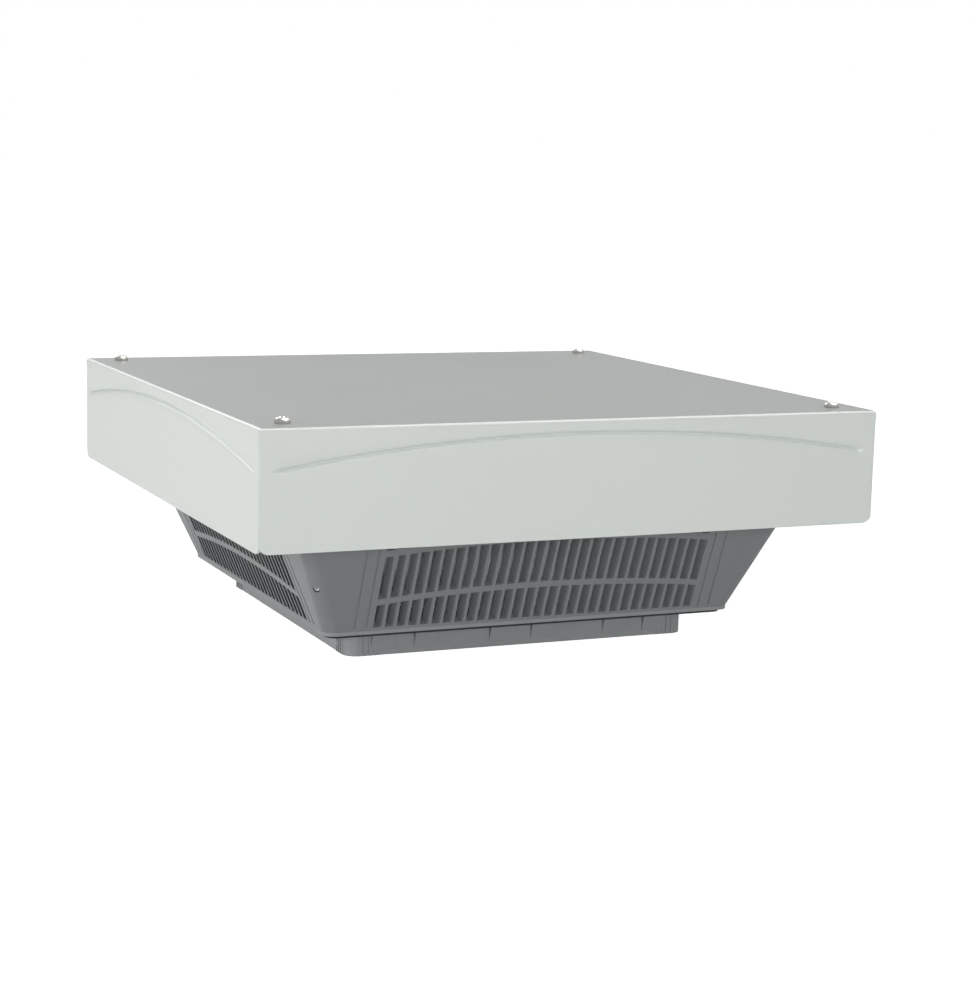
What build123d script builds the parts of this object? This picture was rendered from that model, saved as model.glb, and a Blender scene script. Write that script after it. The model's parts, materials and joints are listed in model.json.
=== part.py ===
from build123d import *
from math import acos, atan, cos, degrees, pi, radians, sin, sqrt, tan
import os

os.makedirs("parts", exist_ok=True)

# An enclosure roof fan, in millimetres. The collar's lower edge lies on Z = 0, +Z is up,
# the front is -Y, and the Z axis is the fan's own axis.

# Cover
cover_width = 380.0
cover_drop = 67.2
cover_sheet = 1.5
cover_bend = 2.1
corner_seam = 0.7
flange_corner_radius = 6.0
cover_screw_inset = 19.0
cover_wall_gap = 8.6

# Pressed arc groove in each flange
groove_apex_drop = 8.1
groove_radius = 1088.0
groove_end_gap = 8.0
groove_width = 3.4
groove_floor = 1.2
groove_depth = 1.0

# Leaning housing between the roof and the cover
stand_height = 127.9
tray_shelf = 20.1
tray_plate = 2.0
corner_radius = 9.0

# Collar in the roof cut-out, with its snap wedges
collar_width = 220.3
collar_drop = 17.7
collar_wall = 2.5
collar_corner = 7.0
wedge_width = 14.0
wedge_pitch = 27.0
wedge_pair_pitch = 75.0
wedge_reach = 3.0
wedge_nose = 1.0
wedge_foot = 3.0
roof_sheet_gap = 2.0
collar_rib_width = 1.6
collar_rib_pitch = 3.2
collar_rib_height = 0.5
collar_rib_count = 4

# Roof gasket
gasket_thickness = 2.0
gasket_inset = 3.0
gasket_collar_gap = 4.5

# Louvre panels: arched rows of upright slots cut at a slant
panel_wall = 2.2
louvre_depth = 4.5
louvre_slant = 0.5
louvre_margin = 3.5
slot_pitch = 7.15
slot_width = 5.25
slot_end_margin = 15.0
row_arch_radius = 930.0
row_foot = 4.3
first_row_crown = 25.1
second_row_foot = 29.1
second_row_crown = 57.3
third_row_foot = 61.7
third_row_crown = 95.0
flute_width = 1.3
flute_depth = 0.4
flute_count = 2
flute_crown = 58.0

# Corner posts
post_leg = 12.0
post_wall = 4.0
post_gusset = 6.0
post_head = 16.0
post_head_width = 22.0
post_screw_height = 30.5
post_recess_radius = 2.4
post_recess_depth = 3.0
lug_side = 12.0
lug_height = 36.0
lug_gap = 0.3
locating_rib = 2.0
locating_rib_height = 4.0
locating_rib_gap = 0.4

# Motor plate with its drawn dish and turned-down lips
plate_sheet = 1.5
plate_inset = 1.4
plate_corner = 6.0
lip_end_gap = 46.4
lip_drop = 8.0
lip_gap = 0.5
dish_top_radius = 80.0
dish_floor_radius = 64.0
dish_depth = 31.5

# Inlet side
ring_edge_gap = 10.65
inlet_hole_inset = 13.0
ring_sheet = 1.5
ring_hole_gap = 4.0
ring_mouth_radius = 18.0
mouth_waist = 0.3
ring_height = 24.3
inlet_screw_inset = 6.0
guard_sheet = 1.5
guard_slot = 9.0
guard_bar = 3.0
guard_rim = 15.0

# Impeller
impeller_reach = 33.0
impeller_sheet = 1.5
eye_gap = 2.5
eye_overlap = 6.0
shroud_bend = 14.0
shroud_neck = 20.0
shroud_rise = 4.0
blade_count = 7
blade_eye_gap = 7.0
blade_sheet = 1.5
blade_angle = 34.0
blade_bow = 4.0
blade_tip_gap = 1.0

# Motor, hung from the dish
flange_radius = 44.0
flange_thickness = 5.0
bearing_tube_radius = 13.5
bearing_radius = 11.0
bearing_width = 7.0
bearing_shoulder_radius = 9.0
bearing_low_offset = 8.0
shaft_radius = 4.0
shaft_clearance = 0.04
rotor_radius = 46.0
rotor_wall = 3.0
rotor_floor = 2.5
rotor_height = 46.0
rotor_bend = 5.0
rotor_flange_radius = 56.0
rotor_flange_sheet = 2.0
rotor_hub_radius = 9.0
rotor_hub_height = 5.0
rotor_top_gap = 4.6
rotor_core_thickness = 6.0
air_gap = 0.5
core_height = 24.0
core_slot_count = 12
core_slot_width = 5.0
core_slot_root = 20.0
winding_radius = 34.0
winding_height = 6.0
winding_tube_gap = 2.5
rivet_count = 5
rivet_radius = 1.6
rivet_head_radius = 3.0
rivet_head = 1.0

# Screws and inserts
cover_screw_radius = 2.5
cover_screw_head_radius = 4.75
cover_screw_head = 3.2
cover_screw_length = 11.0
insert_radius = 3.2
insert_length = 9.0
small_screw_radius = 1.5
small_screw_head_radius = 1.95
small_screw_head = 1.6
small_screw_bite = 8.0
motor_screw_radius = 2.0
motor_screw_head_radius = 3.8
motor_screw_head = 2.6
motor_screw_circle = 34.0
motor_screw_length = 6.0
hole_clearance = 0.25
thread_clearance = 0.05
recess_width = 1.2
recess_depth = 1.6

# Electrical pieces
lead_radius = 3.0
lead_bend = 30.0
lead_exit = 6.0
lead_boss_width = 12.0
lead_boss_height = 8.0
terminal_inset = 24.15
terminal_length = 30.0
terminal_width = 18.0
terminal_height = 10.0
terminal_pitch = 9.0
terminal_well_radius = 2.4
terminal_well_depth = 4.0
grommet_hole_radius = 5.0
grommet_flange_radius = 7.0
grommet_flange = 2.0
capacitor_radius = 14.0
capacitor_length = 55.0
capacitor_inset_x = 66.4
capacitor_inset_y = 63.4
capacitor_gap = 0.2
capacitor_edge = 1.5
clip_sheet = 1.2
clip_width = 12.0
clip_ear = 10.0

# Levels and slopes that follow from the sizes above
tray_z = collar_drop
tray_top = tray_z + tray_plate
top_z = tray_z + stand_height
plate_z = top_z - cover_sheet - plate_sheet
cover_half = cover_width / 2
collar_half = collar_width / 2
base_width = collar_width + 2 * tray_shelf
lean = atan((cover_half - cover_wall_gap - base_width / 2) / (plate_z - tray_z))
screw_half = cover_half - cover_screw_inset
screw_square = 2 * screw_half
dish_floor_z = plate_z - dish_depth
flange_z = dish_floor_z - flange_thickness
rotor_top = flange_z - rotor_top_gap
rotor_z = rotor_top - rotor_height
corner_slant = Vector(-tan(lean), -tan(lean), 1).normalized()

# How much the rounding takes off the housing's sharp corner, measured level along the diagonal
corner_angle = pi - acos(sin(lean) ** 2)
corner_loss = corner_radius * (1 / sin(corner_angle / 2) - 1) * sqrt(1 + 2 * tan(lean) ** 2)


def half(z):
    """Half the housing's outer width at height z."""
    return base_width / 2 + (z - tray_z) * tan(lean)


# What follows the housing's width and the collar's
slot_count = int(2 * (half(tray_top) - post_leg - slot_end_margin) / slot_pitch)
lip_length = 2 * (half(plate_z) - lip_end_gap)
capacitor_x = capacitor_inset_x - half(plate_z)
capacitor_y = capacitor_inset_y - half(plate_z)
terminal_place = collar_half - terminal_inset

# The inlet's rings, which fill the collar, and the impeller, which follows the inlet
ring_flange_radius = collar_half - collar_wall - ring_edge_gap
inlet_screw_circle = ring_flange_radius - inlet_screw_inset
inlet_hole_radius = ring_flange_radius - inlet_hole_inset
ring_throat_radius = inlet_hole_radius - ring_hole_gap - ring_mouth_radius
blade_inner_radius = ring_throat_radius + blade_eye_gap
impeller_radius = ring_throat_radius + impeller_reach


def slant_length(rise):
    """Length along the housing's slanting corner edge over a rise."""
    return rise * sqrt(1 + 2 * tan(lean) ** 2)


# Cutter for the two rounded lower corners of the front flange
with BuildPart() as flange_notches:
    with BuildSketch(Plane.XZ.offset(cover_half + 1)):
        for side in (-1, 1):
            with Locations((side * cover_half, top_z - cover_drop)):
                Rectangle(2 * flange_corner_radius, 2 * flange_corner_radius)
            with Locations(
                (side * (cover_half - flange_corner_radius), top_z - cover_drop + flange_corner_radius)
            ):
                Circle(flange_corner_radius, mode=Mode.SUBTRACT)
    extrude(amount=-cover_sheet - 1)

# The front groove is part of a ring about a centre far below, with a narrow floor and leaning sides
groove_centre_z = top_z - groove_apex_drop - groove_radius
groove_axis = Axis((0, 0, groove_centre_z), (0, 1, 0))
groove_angle = 2 * degrees((cover_half - groove_end_gap) / groove_radius)
groove_plane = Plane(
    origin=(0, -cover_half, top_z - groove_apex_drop),
    x_dir=(0, 0, 1),
    z_dir=(1, 0, 0),
)


def groove_ring(extra):
    """The groove's ring, grown by extra all round, centred on the front flange."""
    wide = groove_width / 2 + extra
    narrow = groove_floor / 2 + extra
    with BuildPart() as ring:
        with BuildSketch(groove_plane):
            with BuildLine():
                Polyline(
                    (-wide, 0),
                    (wide, 0),
                    (narrow, -groove_depth - extra),
                    (-narrow, -groove_depth - extra),
                    close=True,
                )
            make_face()
        revolve(axis=groove_axis, revolution_arc=groove_angle)
    return ring.part.rotate(groove_axis, -groove_angle / 2)


# The inner ring stands out of the flange's inner face as a bead, a sheet's thickness behind the groove
groove_cutter = groove_ring(0)
groove_bead = groove_ring(cover_sheet)
with BuildPart() as inner_side:
    with BuildSketch(Plane.XZ.offset(cover_half - cover_sheet / 2)):
        with Locations((0, top_z - cover_drop / 2)):
            Rectangle(cover_width, cover_drop)
    extrude(amount=-2 * cover_sheet)

# Cover: a square sheet folded down on four sides, with mitred corner seams
with BuildPart() as cover:
    with BuildSketch(Plane.XY.offset(top_z - cover_drop)):
        Rectangle(cover_width, cover_width)
    extrude(amount=cover_drop)
    fillet(cover.faces().sort_by(Axis.Z)[-1].edges(), cover_bend)
    inner_width = cover_width - 2 * cover_sheet
    with BuildSketch(Plane.XY.offset(top_z - cover_drop)):
        Rectangle(inner_width, inner_width)
    inside = extrude(amount=cover_drop - cover_sheet, mode=Mode.PRIVATE).solid()
    inside = inside.fillet(cover_bend - cover_sheet, inside.faces().sort_by(Axis.Z)[-1].edges())
    add(inside, mode=Mode.SUBTRACT)

    for turn in range(4):
        add(flange_notches.part.rotate(Axis.Z, 90 * turn), mode=Mode.SUBTRACT)
        add((groove_bead & inner_side.part).rotate(Axis.Z, 90 * turn))
        add(groove_cutter.rotate(Axis.Z, 90 * turn), mode=Mode.SUBTRACT)

    # Corner seams, cut along the diagonals below the top sheet
    for angle in (45, 135):
        with Locations(Location((0, 0, top_z - cover_drop), (0, 0, angle))):
            Box(
                2 * cover_width,
                corner_seam,
                cover_drop - cover_bend,
                align=(Align.CENTER, Align.CENTER, Align.MIN),
                mode=Mode.SUBTRACT,
            )
    with BuildSketch(Plane.XY.offset(top_z)):
        with GridLocations(screw_square, screw_square, 2, 2):
            Circle(cover_screw_radius + hole_clearance)
    extrude(amount=-2 * cover_sheet, mode=Mode.SUBTRACT)
cover.part.label = "cover"
export_step(cover.part, "parts/cover.step")

# Cover screws: pan heads with a cross recess, one in each corner of the top
with BuildPart() as cover_screws:
    for place in GridLocations(screw_square, screw_square, 2, 2):
        x, y = place.position.X, place.position.Y
        with BuildSketch(Plane.XY.offset(top_z)):
            with Locations((x, y)):
                Circle(cover_screw_head_radius)
        head = extrude(amount=cover_screw_head)
        chamfer(head.faces().sort_by(Axis.Z)[-1].edges(), cover_screw_head / 2)
        with BuildSketch(Plane.XY.offset(top_z)):
            with Locations((x, y)):
                Circle(cover_screw_radius)
        extrude(amount=-cover_screw_length)
        with BuildSketch(Plane.XY.offset(top_z + cover_screw_head)):
            with Locations((x, y)):
                Rectangle(cover_screw_head_radius, recess_width)
                Rectangle(recess_width, cover_screw_head_radius)
        extrude(amount=-recess_depth, mode=Mode.SUBTRACT)
cover_screws.part.label = "cover_screws"
export_step(cover_screws.part, "parts/cover_screws.step")

# Threaded inserts for the cover screws, one in each post head
with BuildPart() as post_inserts:
    with BuildSketch(Plane.XY.offset(plate_z)):
        with GridLocations(screw_square, screw_square, 2, 2):
            Circle(insert_radius)
            Circle(cover_screw_radius + thread_clearance, mode=Mode.SUBTRACT)
    extrude(amount=-insert_length)
post_inserts.part.label = "post_inserts"
export_step(post_inserts.part, "parts/post_inserts.step")


def louvre_panel():
    """The front louvre panel: a leaning sheet, thicker where the slots run through it at a slant."""
    face = Plane(
        origin=(0, -half(tray_top), tray_top),
        x_dir=(1, 0, 0),
        z_dir=(0, -cos(lean), -sin(lean)),
    )
    edge_height = tray_plate / cos(lean)
    panel_top = plate_z - panel_wall * sin(lean)
    slope_height = (panel_top - tray_top) / cos(lean)
    slot_span = (slot_count - 1) * slot_pitch + slot_width

    def arch(x, crown):
        """Height of an arched edge at x, above the panel's lower edge."""
        return crown - edge_height - row_arch_radius + sqrt(row_arch_radius**2 - x**2)

    rows = (
        (row_foot - edge_height, first_row_crown),
        (second_row_foot, second_row_crown),
        (third_row_foot, third_row_crown),
    )
    with BuildPart() as panel:
        with BuildSketch(face):
            with BuildLine():
                Polyline(
                    (-half(tray_top) + post_leg, 0),
                    (half(tray_top) - post_leg, 0),
                    (half(panel_top) - post_leg, slope_height),
                    (-half(panel_top) + post_leg, slope_height),
                    close=True,
                )
            make_face()
        extrude(amount=-panel_wall)

        pad_foot = row_foot - edge_height - louvre_margin / 2
        pad_top = third_row_crown - edge_height + louvre_margin
        with BuildSketch(face.offset(-panel_wall)):
            with Locations((-louvre_slant * louvre_depth / 2, (pad_foot + pad_top) / 2)):
                Rectangle(slot_span + 2 * louvre_margin, pad_top - pad_foot)
        extrude(amount=panel_wall - louvre_depth)

        # Rows of slots between arched cross ribs, run through at a slant so that the bars hide the inside
        with BuildSketch(face):
            for column in range(slot_count):
                left = -slot_span / 2 + column * slot_pitch
                right = left + slot_width
                for row, (foot, crown) in enumerate(rows):
                    if row == 0:
                        feet = (foot, foot)
                    else:
                        feet = (arch(left, foot), arch(right, foot))
                    with BuildLine():
                        Polyline(
                            (left, feet[0]),
                            (right, feet[1]),
                            (right, arch(right, crown)),
                            (left, arch(left, crown)),
                            close=True,
                        )
                    make_face()
        into = face.x_dir * -louvre_slant - face.z_dir
        extrude(amount=2 * louvre_depth, dir=into, mode=Mode.SUBTRACT)

        # Blind flutes carry the pattern on towards the corners
        with BuildSketch(face):
            for side in (-1, 1):
                for step in range(1, flute_count + 1):
                    x = side * (slot_span / 2 + step * slot_pitch - slot_width / 2)
                    with Locations((x, (row_foot + flute_crown) / 2 - edge_height)):
                        Rectangle(flute_width, flute_crown - row_foot)
        extrude(amount=-flute_depth, mode=Mode.SUBTRACT)
    return panel.part


front_panel = louvre_panel()
for turn, side in enumerate(("front", "right", "rear", "left")):
    with BuildPart() as louvre:
        add(front_panel.rotate(Axis.Z, 90 * turn))
    louvre.part.label = "louvre_panel_" + side
    export_step(louvre.part, "parts/louvre_panel_" + side + ".step")


def post_outline(z):
    """Section of the front left corner post at height z: two legs and a gusset behind the rounded edge."""
    edge = -half(z)
    with BuildSketch(Plane.XY.offset(z)) as outline:
        with BuildLine():
            Polyline(
                (edge, edge + post_leg),
                (edge, edge),
                (edge + post_leg, edge),
                (edge + post_leg, edge + post_wall),
                (edge + post_wall + post_gusset, edge + post_wall),
                (edge + post_wall, edge + post_wall + post_gusset),
                (edge + post_wall, edge + post_leg),
                close=True,
            )
        make_face()
    return outline.sketch


def head_outline(z):
    """Section of the solid head at the top of the same post."""
    edge = -half(z)
    behind = edge + panel_wall / cos(lean) + lug_gap
    with BuildSketch(Plane.XY.offset(z)) as outline:
        with BuildLine():
            Polyline(
                (edge, edge + post_leg),
                (edge, edge),
                (edge + post_leg, edge),
                (edge + post_leg, behind),
                (edge + post_head_width, behind),
                (edge + post_head_width, edge + post_head_width),
                (behind, edge + post_head_width),
                (behind, edge + post_leg),
                close=True,
            )
        make_face()
    return outline.sketch


# Corner posts: the rounded outer edges of the housing, which carry the motor plate and the cover
post_screw_z = tray_z + post_screw_height
post_face = half(post_screw_z) * sqrt(2) - corner_loss
post_screw_plane = Plane(
    origin=(-post_face / sqrt(2), -post_face / sqrt(2), post_screw_z),
    x_dir=(0, 0, 1),
    z_dir=(-1, -1, 0),
)
post_section = post_outline(tray_top)
head_section = head_outline(plate_z - post_head)
with BuildPart() as post:
    extrude(post_section, amount=slant_length(plate_z - tray_top), dir=corner_slant)
    extrude(head_section, amount=slant_length(post_head), dir=corner_slant)
    slanting = post.edges().filter_by(Axis((0, 0, 0), corner_slant)).group_by(SortBy.LENGTH)[-1]
    fillet(slanting.sort_by(Axis((0, 0, 0), (1, 1, 0)))[0], corner_radius)
    with BuildSketch(Plane.XY.offset(plate_z)):
        with Locations((-screw_half, -screw_half)):
            Circle(insert_radius + thread_clearance)
    extrude(amount=-cover_screw_length, mode=Mode.SUBTRACT)
    with BuildSketch(post_screw_plane):
        Circle(post_recess_radius)
    extrude(amount=-post_recess_depth, mode=Mode.SUBTRACT)
    with BuildSketch(post_screw_plane):
        Circle(small_screw_radius + hole_clearance)
    extrude(amount=-2 * post_recess_depth - post_gusset, mode=Mode.SUBTRACT)
for turn, corner in enumerate(("front_left", "front_right", "rear_right", "rear_left")):
    with BuildPart() as corner_post:
        add(post.part.rotate(Axis.Z, 90 * turn))
    corner_post.part.label = "corner_post_" + corner
    export_step(corner_post.part, "parts/corner_post_" + corner + ".step")

# Small screws that tie each post to the tray's lug, sunk in the dark round holes at the corners
with BuildPart() as post_screws:
    floor = post_screw_plane.offset(-post_recess_depth)
    with BuildSketch(floor):
        Circle(small_screw_head_radius)
    head = extrude(amount=small_screw_head, mode=Mode.PRIVATE)
    with BuildSketch(floor):
        Circle(small_screw_radius)
    shank_length = post_gusset / sqrt(2) + small_screw_bite
    shank = extrude(amount=-shank_length, mode=Mode.PRIVATE)
    screw = head + shank
    for turn in range(4):
        add(screw.rotate(Axis.Z, 90 * turn))
post_screws.part.label = "post_screws"
export_step(post_screws.part, "parts/post_screws.step")


def lug_outline(z):
    """Section of a tray lug at height z, a running gap inside the post."""
    edge = -half(z) + post_wall + lug_gap
    nose = post_gusset - lug_gap * (2 - sqrt(2))
    with BuildSketch(Plane.XY.offset(z)) as outline:
        with BuildLine():
            Polyline(
                (edge + nose, edge),
                (edge + lug_side, edge),
                (edge + lug_side, edge + lug_side),
                (edge, edge + lug_side),
                (edge, edge + nose),
                close=True,
            )
        make_face()
    return outline.sketch


lug_section = lug_outline(tray_top)
with BuildPart() as lug:
    extrude(lug_section, amount=slant_length(lug_height), dir=corner_slant)
    with BuildSketch(post_screw_plane):
        Circle(small_screw_radius + thread_clearance)
    extrude(amount=-post_recess_depth - shank_length - 1, mode=Mode.SUBTRACT)

# One snap wedge, thick below the roof sheet and thin at its foot
wedge_top = tray_z - gasket_thickness - roof_sheet_gap
with BuildPart() as wedge:
    with BuildSketch(Plane.YZ):
        with BuildLine():
            Polyline(
                (-collar_half + collar_wall / 2, wedge_top),
                (-collar_half - wedge_reach, wedge_top),
                (-collar_half - wedge_reach, wedge_top - wedge_nose),
                (-collar_half, wedge_foot),
                (-collar_half + collar_wall / 2, wedge_foot),
                close=True,
            )
        make_face()
    extrude(amount=wedge_width / 2, both=True)

# Base tray: plate, collar with snap wedges, corner lugs and locating ribs
with BuildPart() as base_tray:
    with BuildSketch(Plane.XY.offset(tray_z)):
        RectangleRounded(2 * half(tray_top), 2 * half(tray_top), corner_loss / (sqrt(2) - 1))
    extrude(amount=tray_plate)
    with BuildSketch(Plane.XY):
        RectangleRounded(collar_width, collar_width, collar_corner)
        inner = collar_width - 2 * collar_wall
        RectangleRounded(inner, inner, collar_corner - collar_wall, mode=Mode.SUBTRACT)
    extrude(amount=tray_z)
    for turn in range(4):
        add(lug.part.rotate(Axis.Z, 90 * turn))

    # Snap wedges, in pairs, and fine grip ribs beside each corner
    for turn in range(4):
        for pair in (-1, 0, 1):
            for side in (-0.5, 0.5):
                place = Pos(pair * wedge_pair_pitch + side * wedge_pitch, 0, 0)
                add((place * wedge.part).rotate(Axis.Z, 90 * turn))
    first_rib = collar_half - collar_corner - collar_rib_width / 2
    for turn in range(4):
        for side in (-1, 1):
            for step in range(collar_rib_count):
                x = side * (first_rib - step * collar_rib_pitch)
                rib = Box(collar_rib_width, 2 * collar_rib_height, tray_z, mode=Mode.PRIVATE)
                add((Pos(x, -collar_half, tray_z / 2) * rib).rotate(Axis.Z, 90 * turn))

    rib_y = half(tray_top) - louvre_depth / cos(lean) - locating_rib_gap - locating_rib / 2
    rib_length = 2 * (half(tray_top) - post_leg - lug_side)
    rib = Box(rib_length, locating_rib, locating_rib_height, mode=Mode.PRIVATE)
    rib = Pos(0, -rib_y, tray_top + locating_rib_height / 2) * rib
    for turn in range(4):
        add(rib.rotate(Axis.Z, 90 * turn))

    with BuildSketch(Plane.XY.offset(tray_top)):
        Circle(inlet_hole_radius)
        with PolarLocations(inlet_screw_circle, 4):
            Circle(motor_screw_radius + hole_clearance)
        with Locations((terminal_place, terminal_place)):
            Circle(grommet_hole_radius)
    extrude(amount=-tray_plate, mode=Mode.SUBTRACT)
base_tray.part.label = "base_tray"
export_step(base_tray.part, "parts/base_tray.step")

# Roof gasket: a flat foam ring round the collar, clear of the wedges
with BuildPart() as roof_gasket:
    with BuildSketch(Plane.XY.offset(tray_z)):
        outer = base_width - 2 * gasket_inset
        RectangleRounded(outer, outer, corner_radius - gasket_inset)
        inner = collar_width + 2 * gasket_collar_gap
        RectangleRounded(inner, inner, collar_corner, mode=Mode.SUBTRACT)
    extrude(amount=-gasket_thickness)
roof_gasket.part.label = "roof_gasket"
export_step(roof_gasket.part, "parts/roof_gasket.step")

# Motor plate: a sheet on the posts with a drawn dish for the motor and four turned-down lips
with BuildPart() as motor_plate:
    with BuildSketch(Plane.XY.offset(plate_z)):
        width = 2 * (half(plate_z) - plate_inset)
        RectangleRounded(width, width, plate_corner)
        Circle(dish_top_radius, mode=Mode.SUBTRACT)
    extrude(amount=plate_sheet)
    with BuildSketch(Plane.XZ):
        with BuildLine():
            Polyline(
                (0, dish_floor_z),
                (dish_floor_radius, dish_floor_z),
                (dish_top_radius, plate_z),
                (dish_top_radius, plate_z + plate_sheet),
                (dish_top_radius - plate_sheet, plate_z + plate_sheet),
                (dish_floor_radius - plate_sheet, dish_floor_z + plate_sheet),
                (0, dish_floor_z + plate_sheet),
                close=True,
            )
        make_face()
    revolve(axis=Axis.Z)
    lip_y = half(plate_z - lip_drop) - panel_wall / cos(lean) - lip_gap - plate_sheet / 2
    lip = Box(lip_length, plate_sheet, lip_drop, mode=Mode.PRIVATE)
    lip = Pos(0, -lip_y, plate_z - lip_drop / 2) * lip
    for turn in range(4):
        add(lip.rotate(Axis.Z, 90 * turn))
    with BuildSketch(Plane.XY.offset(plate_z + plate_sheet)):
        with GridLocations(screw_square, screw_square, 2, 2):
            Circle(cover_screw_radius + hole_clearance)
    extrude(amount=-plate_sheet, mode=Mode.SUBTRACT)
    with BuildSketch(Plane.XY.offset(dish_floor_z)):
        with PolarLocations(motor_screw_circle, 4, 45):
            Circle(motor_screw_radius + hole_clearance)
    extrude(amount=plate_sheet, mode=Mode.SUBTRACT)
    ear_y = capacitor_radius + thread_clearance + clip_sheet + clip_ear / 2
    with BuildSketch(Plane.XY.offset(plate_z)):
        with Locations((capacitor_x, capacitor_y)):
            with GridLocations(0, 2 * ear_y, 1, 2):
                Circle(small_screw_radius + thread_clearance)
    extrude(amount=plate_sheet, mode=Mode.SUBTRACT)
motor_plate.part.label = "motor_plate"
export_step(motor_plate.part, "parts/motor_plate.step")

# Inlet ring: a bell mouth that stands on the tray and leads the air into the impeller's eye
with BuildPart() as inlet_ring:
    with BuildSketch(Plane.XZ):
        with BuildLine():
            throat_top = tray_top + ring_height
            mouth = ring_mouth_radius
            Polyline(
                (ring_flange_radius, tray_top),
                (ring_throat_radius + mouth, tray_top),
                (ring_throat_radius + mouth * mouth_waist, tray_top + mouth * mouth_waist),
                (ring_throat_radius, tray_top + mouth),
                (ring_throat_radius, throat_top),
            )
            offset(amount=ring_sheet, side=Side.RIGHT, kind=Kind.INTERSECTION)
        make_face()
    revolve(axis=Axis.Z)
    with BuildSketch(Plane.XY.offset(tray_top)):
        with PolarLocations(inlet_screw_circle, 4):
            Circle(motor_screw_radius + thread_clearance)
    extrude(amount=ring_sheet, mode=Mode.SUBTRACT)
inlet_ring.part.label = "inlet_ring"
export_step(inlet_ring.part, "parts/inlet_ring.step")

# Finger guard: a slotted sheet disc under the tray
guard_z = tray_z - guard_sheet
with BuildPart() as finger_guard:
    with BuildSketch(Plane.XY.offset(guard_z)):
        Circle(ring_flange_radius)
        guard_pitch = guard_slot + guard_bar
        opening = ring_flange_radius - guard_rim
        slots_a_side = int((opening - guard_slot / 2) / guard_pitch)
        for step in range(-slots_a_side, slots_a_side + 1):
            y = step * guard_pitch
            edge_y = abs(y) + guard_slot / 2
            with Locations((0, y)):
                Rectangle(2 * sqrt(opening**2 - edge_y**2), guard_slot, mode=Mode.SUBTRACT)
        with PolarLocations(inlet_screw_circle, 4):
            Circle(motor_screw_radius + hole_clearance, mode=Mode.SUBTRACT)
        Rectangle(guard_bar, 2 * opening)
    extrude(amount=guard_sheet)
finger_guard.part.label = "finger_guard"
export_step(finger_guard.part, "parts/finger_guard.step")

# Screws that clamp guard, tray and ring together from below
with BuildPart() as inlet_screws:
    with BuildSketch(Plane.XY.offset(guard_z)):
        with PolarLocations(inlet_screw_circle, 4):
            Circle(motor_screw_head_radius)
    extrude(amount=-motor_screw_head)
    with BuildSketch(Plane.XY.offset(guard_z)):
        with PolarLocations(inlet_screw_circle, 4):
            Circle(motor_screw_radius)
    extrude(amount=guard_sheet + tray_plate + 2 * ring_sheet)
inlet_screws.part.label = "inlet_screws"
export_step(inlet_screws.part, "parts/inlet_screws.step")

# Stator flange: a cast disc under the dish, with the bearing tube and the lead's boss
bearing_low_z = rotor_z + rotor_floor + bearing_low_offset
bearing_high_z = flange_z - 2 * shaft_clearance - bearing_width
tube_floor_z = bearing_low_z
lead_z = flange_z + flange_thickness - lead_boss_height / 2
lead_start = flange_radius + lead_exit
with BuildPart() as stator_flange:
    with BuildSketch(Plane.XZ):
        with BuildLine():
            Polyline(
                (0, dish_floor_z),
                (flange_radius, dish_floor_z),
                (flange_radius, flange_z),
                (bearing_tube_radius, flange_z),
                (bearing_tube_radius, tube_floor_z),
                (bearing_radius, tube_floor_z),
                (bearing_radius, bearing_low_z + bearing_width),
                (bearing_shoulder_radius, bearing_low_z + bearing_width),
                (bearing_shoulder_radius, bearing_high_z),
                (bearing_radius, bearing_high_z),
                (bearing_radius, flange_z),
                (0, flange_z),
                close=True,
            )
        make_face()
    revolve(axis=Axis.Z)
    boss = Box(2 * lead_exit, lead_boss_width, lead_boss_height, mode=Mode.PRIVATE)
    add((Pos(flange_radius, 0, lead_z) * boss).rotate(Axis.Z, 45))
    with BuildSketch(Plane.XY.offset(dish_floor_z)):
        with PolarLocations(motor_screw_circle, 4, 45):
            Circle(motor_screw_radius + thread_clearance)
    extrude(amount=-flange_thickness, mode=Mode.SUBTRACT)
stator_flange.part.label = "stator_flange"
export_step(stator_flange.part, "parts/stator_flange.step")

# Screws that hang the motor from the dish
with BuildPart() as motor_screws:
    with BuildSketch(Plane.XY.offset(dish_floor_z + plate_sheet)):
        with PolarLocations(motor_screw_circle, 4, 45):
            Circle(motor_screw_head_radius)
    extrude(amount=motor_screw_head)
    with BuildSketch(Plane.XY.offset(dish_floor_z + plate_sheet)):
        with PolarLocations(motor_screw_circle, 4, 45):
            Circle(motor_screw_radius)
    extrude(amount=-motor_screw_length)
motor_screws.part.label = "motor_screws"
export_step(motor_screws.part, "parts/motor_screws.step")

# Ball bearings, one at each end of the bearing tube
for name, low_z in (("lower_bearing", bearing_low_z), ("upper_bearing", bearing_high_z)):
    with BuildPart() as bearing:
        with BuildSketch(Plane.XY.offset(low_z)):
            Circle(bearing_radius - thread_clearance)
            Circle(shaft_radius + shaft_clearance, mode=Mode.SUBTRACT)
        extrude(amount=bearing_width)
    bearing.part.label = name
    export_step(bearing.part, "parts/" + name + ".step")

# Stator core: slotted laminations on the bearing tube, inside the rotor
core_radius = rotor_radius - rotor_wall - rotor_core_thickness - air_gap
core_z = (rotor_z + rotor_floor + rotor_top - core_height) / 2
with BuildPart() as stator_core:
    with BuildSketch(Plane.XY.offset(core_z)):
        Circle(core_radius)
        Circle(bearing_tube_radius + thread_clearance, mode=Mode.SUBTRACT)
        slot_length = core_radius - core_slot_root
        with PolarLocations(core_slot_root + slot_length / 2, core_slot_count):
            Rectangle(slot_length + 1, core_slot_width, mode=Mode.SUBTRACT)
    extrude(amount=core_height)
stator_core.part.label = "stator_core"
export_step(stator_core.part, "parts/stator_core.step")

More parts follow.
